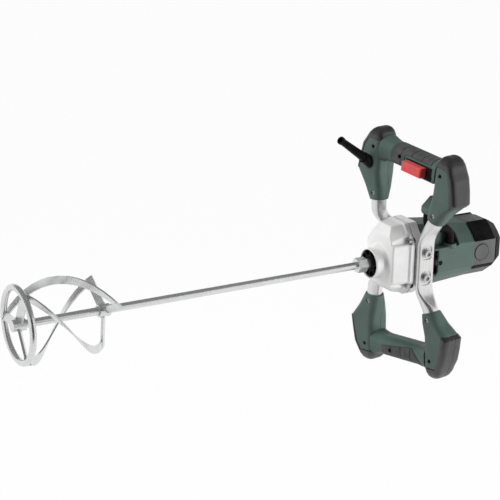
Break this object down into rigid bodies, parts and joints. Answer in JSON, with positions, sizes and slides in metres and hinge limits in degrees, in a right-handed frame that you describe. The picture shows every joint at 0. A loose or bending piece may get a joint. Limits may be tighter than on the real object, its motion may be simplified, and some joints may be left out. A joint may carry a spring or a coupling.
{
  "type": "mixing drill with helical paddle",
  "caption": "Two-handed electric mixing drill: geared motor unit between two D-handles, red push trigger, and a long helical stirring paddle.",
  "frame": {"origin": "on the spindle axis, at the front end of the nose collar's clamping cylinder", "axes": "+X along the spindle from the paddle to the motor, +Z towards the switch handle, +Y to the far side with the cable sleeve"},
  "size_m": [0.851, 0.2263, 0.4054],
  "materials": {
    "cast_aluminium": "bead-blasted casting",
    "green_shell": "fine-grained moulding",
    "grey_cap": "fine-grained moulding",
    "black_rubber": "matt",
    "grip_rubber": "matt, soft",
    "red_trigger": "satin",
    "black_plastic": "matt",
    "dark_screws": "blackened",
    "bright_screws": "zinc-plated",
    "galvanised_steel": "galvanised",
    "machined_steel": "turned and ground",
    "core_sheet": "laminated sheet",
    "copper": "lacquered copper",
    "brass": "plain",
    "carbon": "pressed carbon"
  },
  "bodies": {
    "frame": {"arm_bolts": "bright_screws", "arm_washers": "bright_screws", "armature_bearings": "machined_steel", "bearing_plate": "machined_steel", "bottom_far_bumper": "black_rubber", "bottom_grip": "grip_rubber", "bottom_handle_front": "green_shell", "bottom_handle_rear": "green_shell", "bottom_near_bumper": "black_rubber", "brush_caps": "grey_cap", "brush_holders": "brass", "cable_sleeve": "black_rubber", "cap_bumper": "black_rubber", "carbon_brushes": "carbon", "connecting_hose": "black_rubber", "countershaft_bearings": "machined_steel", "cover_screws": "bright_screws", "far_arm": "cast_aluminium", "field_coils": "copper", "foot_screws": "bright_screws", "gear_case": "cast_aluminium", "gear_cover": "cast_aluminium", "gear_gasket": "black_rubber", "handle_screws": "dark_screws", "motor_housing": "green_shell", "motor_seal": "black_rubber", "near_arm": "cast_aluminium", "nose_insert": "black_plastic", "panel_screws": "dark_screws", "rear_cap": "grey_cap", "spindle_front_bearing": "machined_steel", "spindle_rear_bearing": "machined_steel", "stator": "core_sheet", "switch_module": "black_plastic", "switch_surround": "black_plastic", "top_far_bumper": "black_rubber", "top_grip": "grip_rubber", "top_handle_front": "green_shell", "top_handle_rear": "green_shell", "top_near_bumper": "black_rubber"},
    "spindle": {"spindle": "machined_steel", "spindle_gear": "machined_steel", "mixer_rod": "galvanised_steel", "mixer_lower_hub": "galvanised_steel", "mixer_upper_hub": "galvanised_steel", "mixer_ring": "galvanised_steel", "mixer_flight_1": "galvanised_steel", "mixer_flight_2": "galvanised_steel", "mixer_flight_3": "galvanised_steel"},
    "countershaft": {"countershaft": "machined_steel", "countershaft_gear": "machined_steel"},
    "armature": {"armature_shaft": "machined_steel", "armature_core": "core_sheet", "armature_windings": "copper", "commutator": "copper", "cooling_fan": "black_plastic"},
    "trigger": {"trigger": "red_trigger"}
  },
  "joints": [
    {"name": "spindle_spin", "type": "hinge", "parent": "frame", "child": "spindle", "pos_m": [0, 0, 0], "axis": [1, 0, 0], "continuous": true},
    {"name": "countershaft_spin", "type": "hinge", "parent": "frame", "child": "countershaft", "pos_m": [0, 0, 0.03375], "axis": [1, 0, 0], "continuous": true},
    {"name": "armature_spin", "type": "hinge", "parent": "frame", "child": "armature", "pos_m": [0, 0, 0.00425], "axis": [1, 0, 0], "continuous": true},
    {"name": "trigger_press", "type": "slide", "parent": "frame", "child": "trigger", "axis": [0.9877, 0.1564, 0], "range_m": [0, 0.006], "stiffness_N_per_m": 900, "springref_m": -0.004}
  ],
  "couplings": [
    {"joint": "countershaft_spin", "follows": "spindle_spin", "ratio": -4.4},
    {"joint": "armature_spin", "follows": "spindle_spin", "ratio": 24.444}
  ]
}
